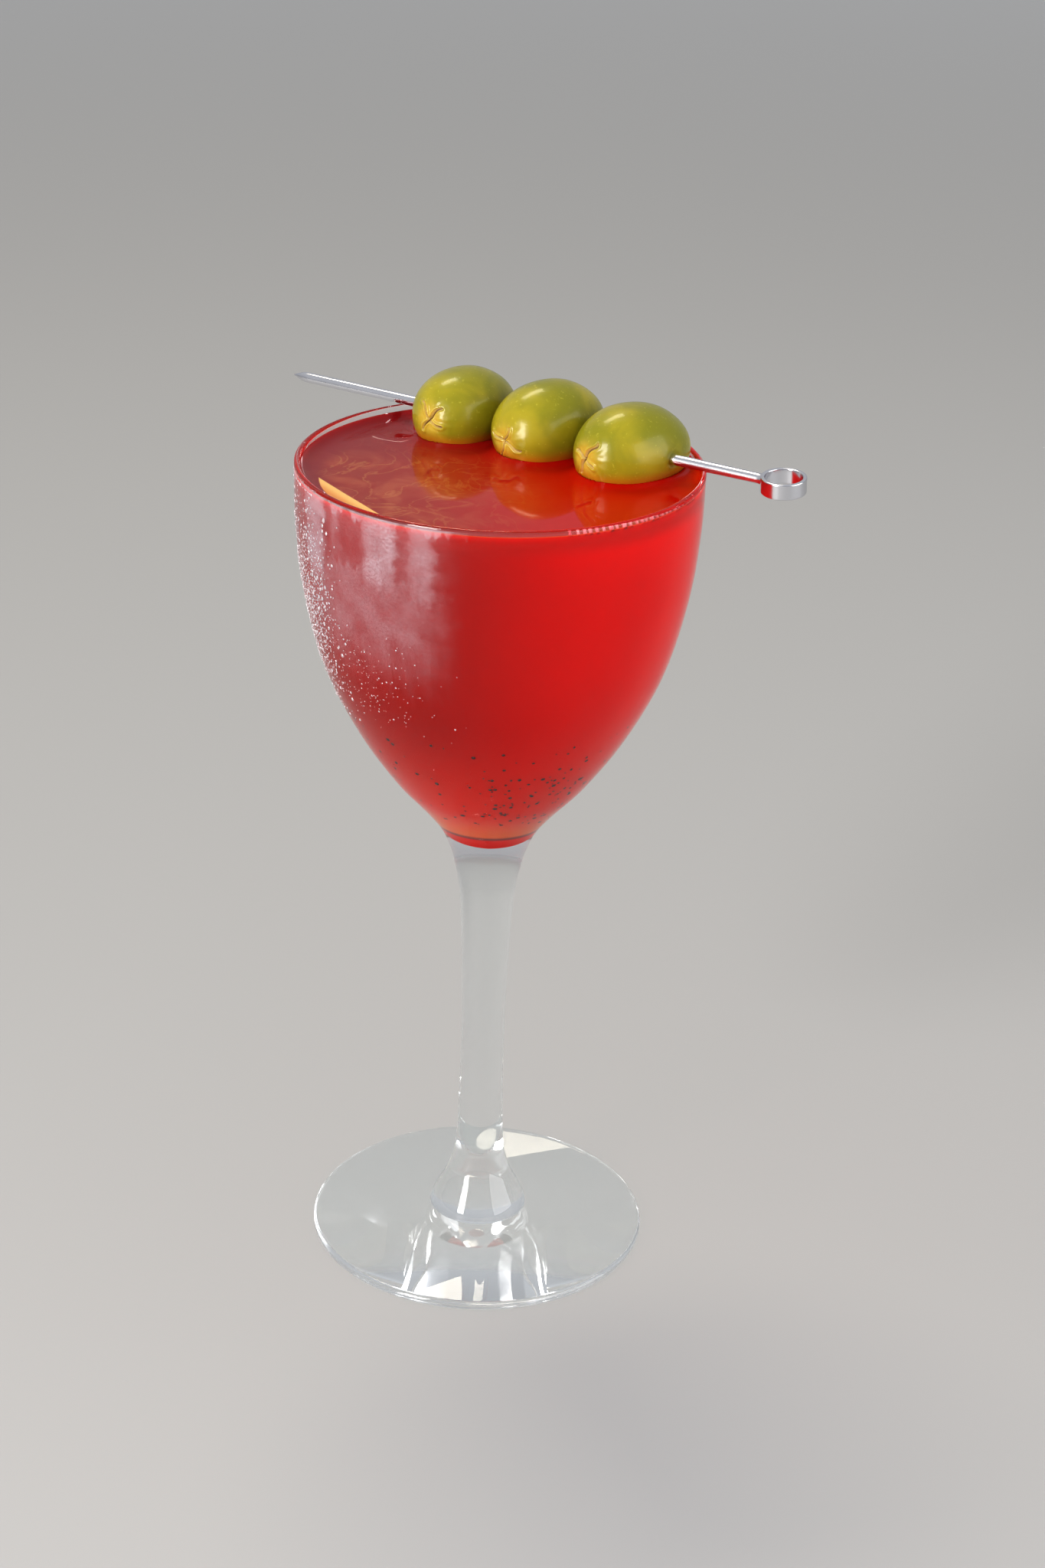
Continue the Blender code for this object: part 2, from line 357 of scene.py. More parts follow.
oliveLook = {
    "places": (
        {"along": -17.3, "back": 0.7, "above": 0.1, "length": 11.3, "width": 8.0,
         "heading": -126, "rise": 5, "twist": 50},
        {"along": -0.5, "back": 1.2, "above": 0.4, "length": 11.2, "width": 8.25,
         "heading": -138, "rise": -3, "twist": 72},
        {"along": 16.9, "back": 0.2, "above": -0.1, "length": 11.5, "width": 8.25,
         "heading": -140, "rise": 3, "twist": 62},
    ),
    "segments": 180,
    "rings": 130,
    "crowding": 1.6,
    "egg": 0.05,
    "flat": 0.9,
    "flatRadius": 4.2,
    "cutReach": 3.5,
    "cutArea": 3.2,
    "slitWander": 0.20,
    "slitBend": 0.16,
    "slitWidth": 0.20,
    "slitDepth": 0.62,
    "lipHeight": 0.30,
    "lipAway": 0.42,
    "lipWidth": 0.30,
    "flapPuff": 0.22,
    "puffRadius": 2.0,
    "puffWidth": 1.2,
    "pucker": 0.02,
    "puckerRadius": 3.6,
    "puckerCount": 17,
    "lump": 0.14,
    "lumpSize": 6.0,
    "punchDepth": 0.8,
    "punchRadius": 2.2,
    "pickDimple": 0.35,
    "dimpleReach": 0.7,
    "skin": (0.26, 0.25, 0.019),
    "paleSkin": (0.38, 0.325, 0.027),
    "fleck": (0.68, 0.60, 0.12),
    "cutSkin": (0.60, 0.43, 0.08),
    "lipSkin": (0.80, 0.66, 0.36),
    # painted shade, dark down the middle of the slits
    "slitShade": (0.16, 0.06, 0.02),
    # painted red light from the drink, on the underside near the level
    "drinkLightSkin": (0.60, 0.17, 0.01),
    "drinkLightReach": 1.6,
}


def pickPlace(along, back=0.0, above=0.0):
    # along the pick from its middle, back from it, and above it, in millimetres
    return (pickForward * along * mm + pickAcross * (pickLook["offset"] + back) * mm
            + Vector((0.0, 0.0, pickHeight + above * mm)))


def oliveMatrix(olive):
    turn = Matrix.Rotation(math.radians(olive["heading"]), 4, "Z")
    tip = Matrix.Rotation(math.radians(90 - olive["rise"]), 4, "Y")
    return Matrix.Translation(pickPlace(olive["along"], olive["back"], olive["above"])) @ turn @ tip


def cutRelief(olive, radius, around, seed):
    # the cross cut: two slits through the middle, their raised lips and the flaps between them
    look = oliveLook
    twist = math.radians(olive["twist"])
    nearest = radius
    for slit in range(4):
        bearing = twist + slit * math.pi / 2 + look["slitWander"] * math.sin(seed * 2.1 + slit * 1.7)
        bend = look["slitBend"] * math.sin(radius * 1.3 + slit * 2.0 + seed)
        away = math.atan2(math.sin(around - bearing - bend), math.cos(around - bearing - bend))
        if abs(away) < math.pi / 2:
            reachHere = look["cutReach"] * (0.85 + 0.2 * math.sin(seed + slit * 2.6))
            past = max(radius - reachHere, 0.0)
            nearest = min(nearest, math.hypot(radius * math.sin(away), past))
    slitMask = fall(nearest, look["slitWidth"])
    lip = look["lipHeight"] * fall(nearest - look["lipAway"], look["lipWidth"])
    lip *= 0.7 + 0.5 * math.sin(around * 3 + seed)
    puff = look["flapPuff"] * (1 - fall(nearest, 1.1)) * fall(radius - look["puffRadius"], look["puffWidth"])
    wrinkle = look["pucker"] * math.sin(around * look["puckerCount"] + seed)
    wrinkle *= fall(radius - look["puckerRadius"], 1.0)
    return puff + wrinkle + lip - look["slitDepth"] * slitMask, slitMask


def makeOlive(number, olive, material):
    look = oliveLook
    body = bmesh.new()
    bmesh.ops.create_uvsphere(body, u_segments=look["segments"], v_segments=look["rings"], radius=1.0)
    matrix = oliveMatrix(olive)
    cutLayer = body.verts.layers.float.new("cut")
    slitLayer = body.verts.layers.float.new("slit")
    for corner in body.verts:
        way = corner.co.normalized()
        polar = math.acos(max(-1.0, min(1.0, way.z)))
        polar = math.pi * (polar / math.pi) ** look["crowding"]  # finer towards the cut end
        around = math.atan2(way.y, way.x)
        radius = olive["width"] * math.sin(polar) * (1 + look["egg"] * math.cos(polar))
        height = olive["length"] * math.cos(polar)
        if height > 0:
            height -= look["flat"] * fall(radius, look["flatRadius"])
            relief, corner[slitLayer] = cutRelief(olive, radius, around, number * 3.7)
            height += relief
            corner[cutLayer] = fall(radius, look["cutArea"])
        else:
            punched = 1 - easeIn(radius, look["punchRadius"] * 0.7, look["punchRadius"])
            height += look["punchDepth"] * punched
        spot = Vector((radius * math.cos(around), radius * math.sin(around), height))
        lump = noise.noise(spot / look["lumpSize"] + Vector((number * 9.0, 0.0, 0.0)))
        spot += way * look["lump"] * lump
        placed = matrix @ (spot * mm)
        # the skin is drawn in a little where the pick goes through
        fromPick = placed - pickPlace(0.0)
        fromRod = (fromPick - pickForward * fromPick.dot(pickForward)).length / mm
        side = 1 if fromPick.dot(pickForward) > olive["along"] * mm else -1
        inward = look["pickDimple"] * fall(max(fromRod - pickLook["radius"], 0.0), look["dimpleReach"])
        placed -= pickForward * side * inward * mm
        corner.co = placed
    piece = makeObject(f"oliveFruit{number}", body, material)
    return settle(piece, "olive_skin", f"olive_{number}")


def makeOliveMaterial():
    look = oliveLook
    material, tree, shader = newMaterial(
        "oliveSkin", Roughness=0.30, IOR=1.4, Subsurface_Weight=0.35, Subsurface_Scale=0.0022,
        Coat_Weight=0.5, Coat_Roughness=0.06, Coat_IOR=1.3)
    shader.inputs["Subsurface Radius"].default_value = (1.0, 0.75, 0.2)
    spot = place(tree)
    patches = mottle(tree, spot, 130.0, 0.35, 0.7, detail=3.0, warp=0.4)
    flecks = mottle(tree, spot, 1500.0, 0.62, 0.74, detail=2.0)
    colour = blendColour(tree, patches, look["skin"], look["paleSkin"])
    colour = blendColour(tree, sums(tree, "MULTIPLY", flecks, 0.25), colour, look["fleck"])
    cutMask = ease(tree, meshValue(tree, "cut"), 0.15, 0.9, 0.0, 0.75)
    colour = blendColour(tree, cutMask, colour, look["cutSkin"])
    slit = meshValue(tree, "slit")
    colour = blendColour(tree, ease(tree, slit, 0.02, 0.35, 0.0, 0.6), colour, look["lipSkin"])
    # painted shade down the middle of the slits
    colour = blendColour(tree, ease(tree, slit, 0.55, 0.95, 0.0, 0.8), colour, look["slitShade"])
    # painted light: red light from the drink on the underside, near the level
    reach = look["drinkLightReach"] * mm
    level = ease(tree, parts(tree, spot)["Z"], wallTop - reach, wallTop + reach, 0.75, 0.0)
    colour = blendColour(tree, level, colour, look["drinkLightSkin"])
    tree.links.new(colour, shader.inputs["Base Color"])
    fine = mottle(tree, spot, 900.0, 0.2, 0.8, detail=5.0)
    tree.links.new(bumpNormal(tree, fine, 0.03 * mm, 0.5), shader.inputs["Normal"])
    return material


# Pick: a polished steel rod with a ground point and a short tube for a ring

def makeSteelMaterial():
    look = pickLook
    material, tree, shader = newMaterial("polishedSteel", Base_Color=look["steel"], Metallic=1.0)
    spot = place(tree, turn=(0.0, 0.0, -pickHeading))
    wear = mottle(tree, spot, 180.0, 0.2, 0.8, detail=3.0)
    rough = sums(tree, "MULTIPLY_ADD", wear, look["roughSpread"], look["roughLow"])
    tree.links.new(rough, shader.inputs["Roughness"])
    return material


def makePick(material):
    look = pickLook
    radius = look["radius"] * mm
    tip = look["tip"] * mm
    end = (look["ringMiddle"] - look["ringOuter"] + look["ringWall"] / 2) * mm
    weldStart = end - (look["weldLength"] + look["ringWall"] / 2) * mm
    blunt = look["pointRadius"] * mm
    taper = look["pointLength"] * mm
    outline = [Vector((0.0, tip))]
    outline += [Vector((blunt * math.sin(angle), tip + blunt * (1 - math.cos(angle))))
                for angle in (0.5, 1.0, 1.4)]
    for step in range(1, look["pointRings"] + 1):
        share = step / look["pointRings"]
        outline.append(Vector((radius * math.sin(share * math.pi / 2) ** 0.85, tip + taper * share)))
    for step in range(1, look["rodRings"]):
        outline.append(Vector((radius, tip + taper + (weldStart - tip - taper) * step / look["rodRings"])))
    for step in range(look["weldRings"] + 1):
        share = step / look["weldRings"]
        flare = look["weldFlare"] * mm * share ** 2.5
        outline.append(Vector((radius + flare, weldStart + (end - weldStart) * share)))
    outline.append(Vector((0.0, end)))
    rod = spunMesh(outline, look["rodSteps"])
    bmesh.ops.rotate(rod, cent=(0, 0, 0), matrix=Matrix.Rotation(math.pi / 2, 3, "Y"), verts=rod.verts)
    rod.transform(Matrix.Translation(pickPlace(0.0)) @ Matrix.Rotation(pickHeading, 4, "Z"))
    outer = look["ringOuter"] * mm
    inner = outer - look["ringWall"] * mm
    half = look["ringHeight"] * mm / 2
    edge = look["ringEdge"] * mm
    flat = half - edge * 1.3  # extra loops keep the flat walls flat
    steps = look["cornerSteps"]
    rounded = (arc((inner + edge, half - edge), edge, 180, 90, steps)
               + arc((outer - edge, half - edge), edge, 90, 0, steps)
               + [Vector((outer, flat)), Vector((outer, -flat))]
               + arc((outer - edge, edge - half), edge, 0, -90, steps)
               + arc((inner + edge, edge - half), edge, -90, -180, steps)
               + [Vector((inner, -flat)), Vector((inner, flat))])
    ring = spunMesh(rounded, look["ringSteps"], closed=True)
    ring.transform(Matrix.Translation(pickPlace(look["ringMiddle"]))
                   @ Matrix.Rotation(pickHeading, 4, "Z")
                   @ Matrix.Rotation(math.radians(look["ringLean"]), 4, "X"))
    band = bpy.data.meshes.new("pickBand")
    ring.to_mesh(band)
    ring.free()
    rod.from_mesh(band)  # the rod's end is sunk in the wall of the ring
    bpy.data.meshes.remove(band)
    piece = makeObject("cocktailPick", rod, material)
    piece.data.set_sharp_from_angle(angle=math.radians(look["sharpFrom"]))
    return settle(piece, "polished_steel", "pick")


# Drink: cloudy red, orange at the bottom, with a thin skin of pale swirls on top

drinkLook = {
    "levelBelowRim": 2.5,
    "meniscusFall": 1.0,
    "meniscusHeight": 1.4,
    "intoWall": 0.15,
    "topRings": 150,
    "turnSteps": 300,
    "oliveRise": 1.0,
    "oliveFall": 0.8,
    "underSkin": 0.4,
    "ripple": 0.03,
    "across": (-14.0, 34.0),  # painted light: from the darker left to the brighter right, where light glows through the drink
    "shadedLeftRed": (0.28, 0.006, 0.004),
    "glowingRightRed": (0.80, 0.001, 0.0005),
    "cloud": (0.36, 0.010, 0.004),
    "cloudShare": 0.15,
    "layers": (  # full up to one height and gone at the next
        {"full": 84.0, "gone": 116.0, "strength": 0.8, "colour": (0.68, 0.016, 0.001)},
        {"full": 85.5, "gone": 93.0, "strength": 0.75, "colour": (0.62, 0.16, 0.05)},
        {"full": 84.9, "gone": 85.4, "strength": 1.0, "colour": (0.62, 0.012, 0.006)},
    ),
    "line": {"from": 84.6, "to": 85.9, "rise": 0.5, "fall": 0.6, "strength": 0.8,  # painted dark refraction of the bowl's bottom, low in the bowl
             "colour": (0.12, 0.03, 0.04)},
    "brim": {"from": 146.5, "to": 149.6, "strength": 0.6, "colour": (0.30, 0.012, 0.008)},
    "rightTop": (0.50, 0.006, 0.002),
    # painted reflection of a warm backdrop over the left half, darker and browner than the right
    "mirroredLeftTop": (0.26, 0.018, 0.022),
    "mirrorAcross": (-26.0, 14.0),
    "hazeAndMirrorBack": (3.0, 13.0),  # where the haze and the painted reflection thin out towards the back and towards the wall
    "hazeAndMirrorEdge": (27.5, 31.5),
    "hazeAndMirrorTone": (0.42, 0.07, 0.025),
    "hazeAndMirrorShare": 0.35,
    "swirl": (0.52, 0.16, 0.07),
    "swirlShare": 0.40,
    "thread": (0.66, 0.32, 0.10),
    "threadShare": 0.24,
    # painted highlight: gold light caught in the meniscus at the left
    "glintCrescent": {"turn": 57.2, "away": 28.1, "middle": -2.0, "half": 11.2, "width": 3.3,
                 "share": 0.92,
                 "pale": (0.95, 0.60, 0.20), "deep": (0.85, 0.36, 0.09)},
}
drinkLevel = glassTop - drinkLook["levelBelowRim"] * mm


def nearOlives(x, y, frames):
    # how far a spot of the level is from the nearest olive, and where that olive's underside is
    nearest, under = 1e9, 1e9
    for inverse, length, width in frames:
        local = inverse @ Vector((x, y, drinkLevel))
        inside = math.sqrt((local.z / length) ** 2 + (local.x ** 2 + local.y ** 2) / width ** 2)
        nearest = min(nearest, (inside - 1) * width)
        # the crossing of an upright line with the olive's skin
        down = inverse.to_3x3() @ Vector((0.0, 0.0, 1.0))
        stretch = Vector((1 / width, 1 / width, 1 / length))
        start, way = local * stretch, down * stretch
        share = start.dot(way) ** 2 - way.dot(way) * (start.dot(start) - 1)
        if share > 0:
            under = min(under, drinkLevel + (-start.dot(way) - math.sqrt(share)) / way.dot(way))
    return nearest, under


def makeDrink(bodyMaterial, surfaceMaterial):
    look = drinkLook
    wall = sideways(insideLine, look["intoWall"] * mm)
    wall[0].x = 0.0
    below = [point for point in wall if point.y < drinkLevel - 1.2 * mm]
    share = (wallTop - below[-1].y) / (wall[-1].y - below[-1].y)
    edge = below[-1].lerp(wall[-1], share)
    surface = []
    for step in range(look["topRings"]):
        radius = edge.x * (step / look["topRings"]) ** 0.85
        rise = look["meniscusHeight"] * mm * math.exp(-(edge.x - radius) / (look["meniscusFall"] * mm))
        surface.append(Vector((radius, drinkLevel + rise)))
    drop = spunMesh(surface + [edge] + below[::-1], look["turnSteps"])
    frames = [(oliveMatrix(olive).inverted(), olive["length"] * mm, olive["width"] * mm)
              for olive in oliveLook["places"]]
    for corner in drop.verts:
        if corner.co.z > drinkLevel - 0.01 * mm and corner.co.xy.length < edge.x - 0.2 * mm:
            gap, under = nearOlives(corner.co.x, corner.co.y, frames)
            rise = look["oliveRise"] * math.exp(-max(gap / mm, 0.0) / look["oliveFall"])
            ripple = look["ripple"] * noise.noise(corner.co * 120.0)
            corner.co.z = min(corner.co.z + (rise + ripple) * mm, under + look["underSkin"] * mm)
    drop.normal_update()
    for face in drop.faces:
        face.material_index = 1 if face.calc_center_median().z > drinkLevel - 0.2 * mm else 0
    piece = makeObject("redDrink", drop, bodyMaterial, surfaceMaterial)
    return settle(piece, "red_drink", "drink")


def makeDrinkBodyMaterial():
    look = drinkLook
    material, tree, shader = newMaterial(
        "drinkBody", Roughness=0.6, Subsurface_Weight=1.0, Subsurface_Scale=0.012, Specular_IOR_Level=0.0)
    shader.inputs["Subsurface Radius"].default_value = (1.0, 0.09, 0.04)
    spot = place(tree)
    x, y, z = parts(tree, spot)
    clouds = mottle(tree, spot, 60.0, 0.3, 0.7, detail=3.0)
    # painted light: darker on the left and glowing red on the right, standing in for light through the drink
    paintedGlow = ease(tree, x, look["across"][0] * mm, look["across"][1] * mm)
    colour = blendColour(tree, paintedGlow, look["shadedLeftRed"], look["glowingRightRed"])
    colour = blendColour(tree, sums(tree, "MULTIPLY", clouds, look["cloudShare"]), colour, look["cloud"])
    for layer in look["layers"]:
        mask = ease(tree, z, layer["full"] * mm, layer["gone"] * mm, layer["strength"], 0.0)
        colour = blendColour(tree, mask, colour, layer["colour"])
    # painted dark refraction of the bowl's bottom, a band low in the bowl
    line = look["line"]
    mask = sums(tree, "MULTIPLY", ease(tree, z, line["from"] * mm, (line["from"] + line["rise"]) * mm),
                ease(tree, z, (line["to"] - line["fall"]) * mm, line["to"] * mm, 1.0, 0.0))
    colour = blendColour(tree, sums(tree, "MULTIPLY", mask, line["strength"]), colour, line["colour"])
    brim = look["brim"]
    mask = ease(tree, z, brim["from"] * mm, brim["to"] * mm, 0.0, brim["strength"])
    colour = blendColour(tree, mask, colour, brim["colour"])
    tree.links.new(colour, shader.inputs["Base Color"])
    return material


def makeDrinkSurfaceMaterial():
    look = drinkLook
    material, tree, shader = newMaterial(
        "drinkSurface", Roughness=0.05, IOR=1.38, Subsurface_Weight=0.3, Subsurface_Scale=0.004)
    shader.inputs["Subsurface Radius"].default_value = (1.0, 0.12, 0.06)
    spot = place(tree)
    x, y, z = parts(tree, spot)
    swirl = mottle(tree, spot, 110.0, 0.40, 0.66, detail=7.0, warp=1.3)
    drift = place(tree, shift=(0.3, 0.1, 0.0))
    threads = sums(tree, "MULTIPLY", mottle(tree, drift, 110.0, 0.475, 0.50, detail=7.0, warp=1.0),
                   sums(tree, "SUBTRACT", 1.0, mottle(tree, drift, 110.0, 0.50, 0.525, detail=7.0, warp=1.0)))
    # painted reflection of a warm brown backdrop over the left half, with real haze and swirls of film on it
    mirroredLeft = ease(tree, x, look["mirrorAcross"][0] * mm, look["mirrorAcross"][1] * mm, 1.0, 0.0)
    colour = blendColour(tree, mirroredLeft, look["rightTop"], look["mirroredLeftTop"])
    back = ease(tree, y, look["hazeAndMirrorBack"][0] * mm, look["hazeAndMirrorBack"][1] * mm, 1.0, 0.15)
    rim = ease(tree, fromAxis(tree, x, y), look["hazeAndMirrorEdge"][0] * mm, look["hazeAndMirrorEdge"][1] * mm, 1.0, 0.1)
    hazeAndMirrorMask = sums(tree, "MULTIPLY", sums(tree, "MULTIPLY", back, rim), mirroredLeft)
    colour = blendColour(tree, sums(tree, "MULTIPLY", hazeAndMirrorMask, look["hazeAndMirrorShare"]), colour, look["hazeAndMirrorTone"])
    skin = sums(tree, "MULTIPLY", swirl, sums(tree, "MULTIPLY", hazeAndMirrorMask, look["swirlShare"]))
    colour = blendColour(tree, skin, colour, look["swirl"])
    gold = sums(tree, "MULTIPLY", threads, sums(tree, "MULTIPLY", hazeAndMirrorMask, look["threadShare"]))
    colour = blendColour(tree, gold, colour, look["thread"])
    # a painted highlight: a sliver of gold light caught in the meniscus at the left, one straight side, and a
    # bow towards the wall
    glintCrescent = look["glintCrescent"]
    glintX, glintY = parts(tree, place(tree, turn=(0.0, 0.0, math.radians(glintCrescent["turn"]))))[:2]
    along = sums(tree, "MULTIPLY_ADD", glintX, 1 / (glintCrescent["half"] * mm),
                 -glintCrescent["middle"] / glintCrescent["half"])
    bow = sums(tree, "SUBTRACT", 1.0, sums(tree, "MULTIPLY", along, along), clamp=True)
    deep = sums(tree, "MULTIPLY_ADD", glintY, -1.0, -glintCrescent["away"] * mm)
    room = sums(tree, "SUBTRACT", sums(tree, "MULTIPLY", bow, glintCrescent["width"] * mm), deep)
    glintMask = sums(tree, "MULTIPLY", ease(tree, deep, 0.0, 0.25 * mm), ease(tree, room, 0.0, 0.3 * mm))
    glintTone = blendColour(tree, ease(tree, deep, 0.5 * mm, 2.6 * mm), glintCrescent["pale"], glintCrescent["deep"])
    colour = blendColour(tree, sums(tree, "MULTIPLY", glintMask, glintCrescent["share"]), colour, glintTone)
    tree.links.new(colour, shader.inputs["Base Color"])
    tree.links.new(sums(tree, "MULTIPLY_ADD", skin, 0.25, 0.03), shader.inputs["Roughness"])
    return material


# Mist and dew: the cold bowl is fogged on the left, wiped in streaks under the rim

mistLook = {
    "from": 8,
    "to": 128,
    "bottom": 100.0,
    "clearance": 0.02,
    "thickness": 0.03,
    "colour": (0.76, 0.72, 0.78, 1.0),
    "strength": 0.25,
    "spinSteps": 140,
    "sharpFrom": 50,
    "areas": (  # degrees left of the front, heights in millimetres, soft borders in radians and millimetres
        {"from": 17, "to": 67, "bottom": 126.0, "top": 142.0, "strength": 0.5, "soft": 0.16, "tall": 8.0},
        {"from": 55.2, "to": 66.8, "bottom": 136, "top": 154, "strength": 1.0, "soft": 0.045, "tall": 5.0},
        {"from": 47.4, "to": 52.6, "bottom": 141, "top": 154, "strength": 0.6, "soft": 0.045, "tall": 5.0},
        {"from": 28.2, "to": 39.4, "bottom": 139, "top": 154, "strength": 1.0, "soft": 0.045, "tall": 5.0},
        {"from": 16.7, "to": 24.9, "bottom": 137, "top": 154, "strength": 0.7, "soft": 0.045, "tall": 5.0},
        {"from": 74, "to": 100, "bottom": 120.0, "top": 148.0, "strength": 0.05, "soft": 0.16, "tall": 8.0},
        {"from": 12, "to": 110, "bottom": 150.2, "top": 154.0, "strength": 0.9, "soft": 0.12, "tall": 0.7},
        {"from": 16, "to": 92, "bottom": 134.0, "top": 154.0, "strength": 0.3, "soft": 0.16, "tall": 8.0},
    ),
    "topSoft": 0.8,
}


def wallAt(height):
    # the outer radius of the bowl at a height, both in metres
    for low, high in zip(outsideLine, outsideLine[1:]):
        if low.y <= height <= high.y:
            return low.x + (high.x - low.x) * (height - low.y) / max(high.y - low.y, 1e-9)
    return outsideLine[-1].x


def onBowl(leftOfFront, height, out=0.0):
    # a spot of the bowl's outside and the direction out of it
    radius = wallAt(height)
    slope = (wallAt(height + 0.5 * mm) - wallAt(height - 0.5 * mm)) / mm
    away = Vector((-math.sin(leftOfFront), -math.cos(leftOfFront), 0.0))
    normal = (away - Vector((0.0, 0.0, slope))).normalized()
    return away * radius + Vector((0.0, 0.0, height)) + normal * out, normal


def makeMistMaterial():
    look = mistLook
    material, tree, shader = newMaterial(
        "coldMist", Base_Color=look["colour"], Roughness=0.42, IOR=1.33)
    x, y, z = parts(tree, place(tree))
    left = sums(tree, "ARCTAN2", sums(tree, "MULTIPLY", x, -1.0), sums(tree, "MULTIPLY", y, -1.0))
    flat = tree.nodes.new("ShaderNodeCombineXYZ")  # the wall rolled out flat
    tree.links.new(sums(tree, "MULTIPLY", left, 34 * mm), flat.inputs[0])
    tree.links.new(z, flat.inputs[1])
    rolled = flat.outputs[0]
    wobble = sums(tree, "MULTIPLY_ADD", mottle(tree, rolled, 420.0, 0.2, 0.8, detail=5.0), 0.05, -0.025)
    leftEdge = sums(tree, "ADD", left, wobble)
    drip = tree.nodes.new("ShaderNodeMapping")
    drip.inputs["Scale"].default_value = (1.0, 0.12, 1.0)
    tree.links.new(rolled, drip.inputs["Vector"])
    streaks = mottle(tree, drip.outputs["Vector"], 480.0, 0.30, 0.66, detail=2.0)
    zEdge = sums(tree, "ADD", z, sums(tree, "MULTIPLY_ADD", streaks, 2.4 * mm, -1.2 * mm))
    topSoft = look["topSoft"] * mm
    veil = 0.0
    for area in look["areas"]:
        low, high, soft = math.radians(area["from"]), math.radians(area["to"]), area["soft"]
        bottom, top, tall = area["bottom"] * mm, area["top"] * mm, area["tall"] * mm
        inside = sums(tree, "MULTIPLY", ease(tree, leftEdge, low - soft, low + soft),
                      ease(tree, leftEdge, high - soft, high + soft, 1.0, 0.0))
        upright = sums(tree, "MULTIPLY", ease(tree, zEdge, bottom - tall, bottom + tall),
                       ease(tree, zEdge, top - topSoft, top + topSoft, 1.0, 0.0))
        covered = sums(tree, "MULTIPLY", sums(tree, "MULTIPLY", inside, upright), area["strength"])
        veil = sums(tree, "MAXIMUM", veil, covered)
    grain = mottle(tree, rolled, 2400.0, 0.25, 0.75, detail=2.0)
    patches = mottle(tree, rolled, 210.0, 0.25, 0.7, detail=4.0)
    veil = sums(tree, "MULTIPLY", veil, sums(tree, "MULTIPLY_ADD", patches, 0.45, 0.55))
    veil = sums(tree, "MULTIPLY", veil, sums(tree, "MULTIPLY_ADD", grain, 0.4, 0.6))
    tree.links.new(sums(tree, "MULTIPLY", veil, look["strength"], clamp=True), shader.inputs["Alpha"])
    tree.links.new(bumpNormal(tree, grain, 0.05 * mm, 0.6), shader.inputs["Normal"])
    return material


def makeMist():
    look = mistLook
    span = [point for point in outsideLine if point.y >= look["bottom"] * mm]
    inner = sideways(span, look["clearance"] * mm)
    outer = sideways(span, (look["clearance"] + look["thickness"]) * mm)
    turn = math.radians(look["to"] - look["from"])
    # the spin starts at +X; the front is a quarter turn before it
    begin = -math.pi / 2 - math.radians(look["to"])
    film = spunMesh(inner + outer[::-1], look["spinSteps"], closed=True, turn=turn, begin=begin)
    bmesh.ops.holes_fill(film, edges=[edge for edge in film.edges if edge.is_boundary], sides=0)
    bmesh.ops.recalc_face_normals(film, faces=film.faces)
    piece = makeObject("coldMist", film, makeMistMaterial())
    piece.data.set_sharp_from_angle(angle=math.radians(look["sharpFrom"]))
    return settle(piece, "clear_glass")


dewLook = {
    "seed": 41,
    "lowest": 104.0,
    "highest": 150.5,
    "patches": (  # degrees left of the front and heights with their spreads, then drop radii in millimetres
        {"middle": 68, "spread": 7.0, "height": 131.0, "rise": 8.5, "count": 1400,
         "small": 0.10, "large": 0.32, "tall": 1.5},
        {"middle": 94, "spread": 15, "height": 130.0, "rise": 9.0, "count": 850,
         "small": 0.09, "large": 0.36, "tall": 1.4},
        {"middle": 42, "spread": 12, "height": 120.0, "rise": 4.5, "count": 200,
         "small": 0.07, "large": 0.18, "tall": 1.2},
    ),
    "lift": 0.5,
    "segments": 8,
    "rings": 5,
    "colour": (0.94, 0.93, 0.95, 1.0),
    "clear": 0.62,
}


def dropPlace(spot, facing, sizes):
    # a squashed ball on a wall: its width, its height up the wall and its depth out of it
    side = Vector((0.0, 0.0, 1.0)).cross(facing).normalized()
    upward = facing.cross(side).normalized()
    turn = Matrix((side * sizes[0], upward * sizes[1], facing * sizes[2])).transposed().to_4x4()
    return Matrix.Translation(spot) @ turn


def scatter(name, places, segments, rings, material):
    # one ball, copied to every place and joined into one mesh
    ball = bmesh.new()
    bmesh.ops.create_uvsphere(ball, u_segments=segments, v_segments=rings, radius=1.0)
    ball.verts.ensure_lookup_table()
    corners = np.array([(*corner.co, 1.0) for corner in ball.verts])
    faces = [[corner.index for corner in face.verts] for face in ball.faces]
    ball.free()
    spots = np.concatenate([corners @ np.array(matrix).T for matrix in places])[:, :3]
    joined = [[index + len(corners) * copy for index in face]
              for copy in range(len(places)) for face in faces]
    data = bpy.data.meshes.new(name)
    data.from_pydata(spots.tolist(), [], joined)
    data.shade_smooth()
    data.materials.append(material)
    made = bpy.data.objects.new(name, data)
    bpy.context.scene.collection.objects.link(made)
    return made


